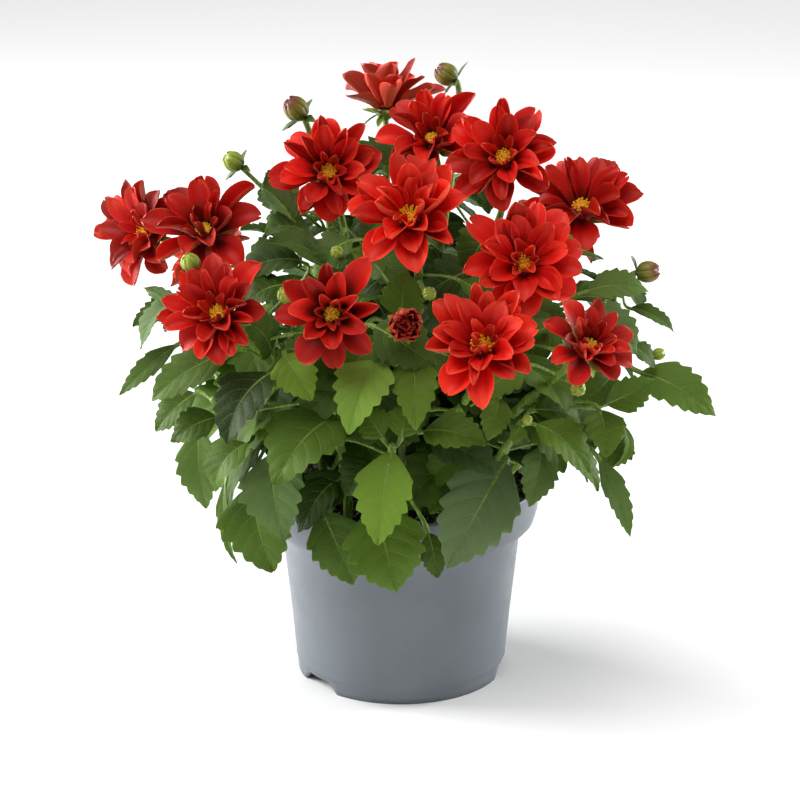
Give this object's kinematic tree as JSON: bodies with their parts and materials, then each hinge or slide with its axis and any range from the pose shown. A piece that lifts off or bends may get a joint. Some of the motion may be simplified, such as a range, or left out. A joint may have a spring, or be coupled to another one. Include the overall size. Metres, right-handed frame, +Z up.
{
  "type": "potted dahlia",
  "caption": "Potted dwarf dahlia: red semi-double blooms with yellow discs and green buds above toothed leaves, in a round tapered plastic nursery pot with a collar.",
  "frame": {"origin": "middle of the pot's base plate, on the surface the pot stands on", "axes": "+Z up along the pot's axis; the plant's front, the side seen in the picture, faces -Y; +X to the right of the front view"},
  "size_m": [0.281, 0.24, 0.2851],
  "materials": {
    "pot": "satin",
    "soil": "matte",
    "petals": "matte",
    "dark_petals": "matte",
    "disc": "matte",
    "foliage": "satin"
  },
  "bodies": {
    "root": {"pot": "pot", "soil": "soil", "bloom_01_petals": "petals", "bloom_01_disc": "disc", "bloom_02_petals": "petals", "bloom_02_disc": "disc", "bloom_03_petals": "petals", "bloom_03_disc": "disc", "bloom_04_petals": "petals", "bloom_04_disc": "disc", "bloom_05_petals": "petals", "bloom_05_disc": "disc", "bloom_06_petals": "petals", "bloom_06_disc": "disc", "bloom_07_petals": "petals", "bloom_07_disc": "disc", "bloom_08_petals": "petals", "bloom_08_disc": "disc", "bloom_09_petals": "petals", "bloom_09_disc": "disc", "bloom_10_petals": "petals", "bloom_10_disc": "disc", "bloom_11_petals": "petals", "bloom_11_disc": "disc", "bloom_12_petals": "petals", "bloom_12_disc": "disc", "bloom_13_petals": "petals", "bloom_13_disc": "disc", "bloom_14_petals": "petals", "bloom_14_disc": "disc", "bloom_15_petals": "petals", "bloom_15_disc": "disc", "half_open_petals": "dark_petals", "stem_01": "foliage", "stem_02": "foliage", "stem_03": "foliage", "stem_04": "foliage", "stem_05": "foliage", "stem_06": "foliage", "stem_07": "foliage", "stem_08": "foliage", "stem_09": "foliage", "stem_10": "foliage", "stem_11": "foliage", "stem_12": "foliage", "stem_13": "foliage", "stem_14": "foliage", "stem_15": "foliage", "stem_16": "foliage", "stem_17": "foliage", "stem_18": "foliage", "stem_19": "foliage", "stem_20": "foliage", "stem_21": "foliage", "stem_22": "foliage", "stem_23": "foliage", "stem_24": "foliage", "stem_25": "foliage"}
  },
  "joints": []
}
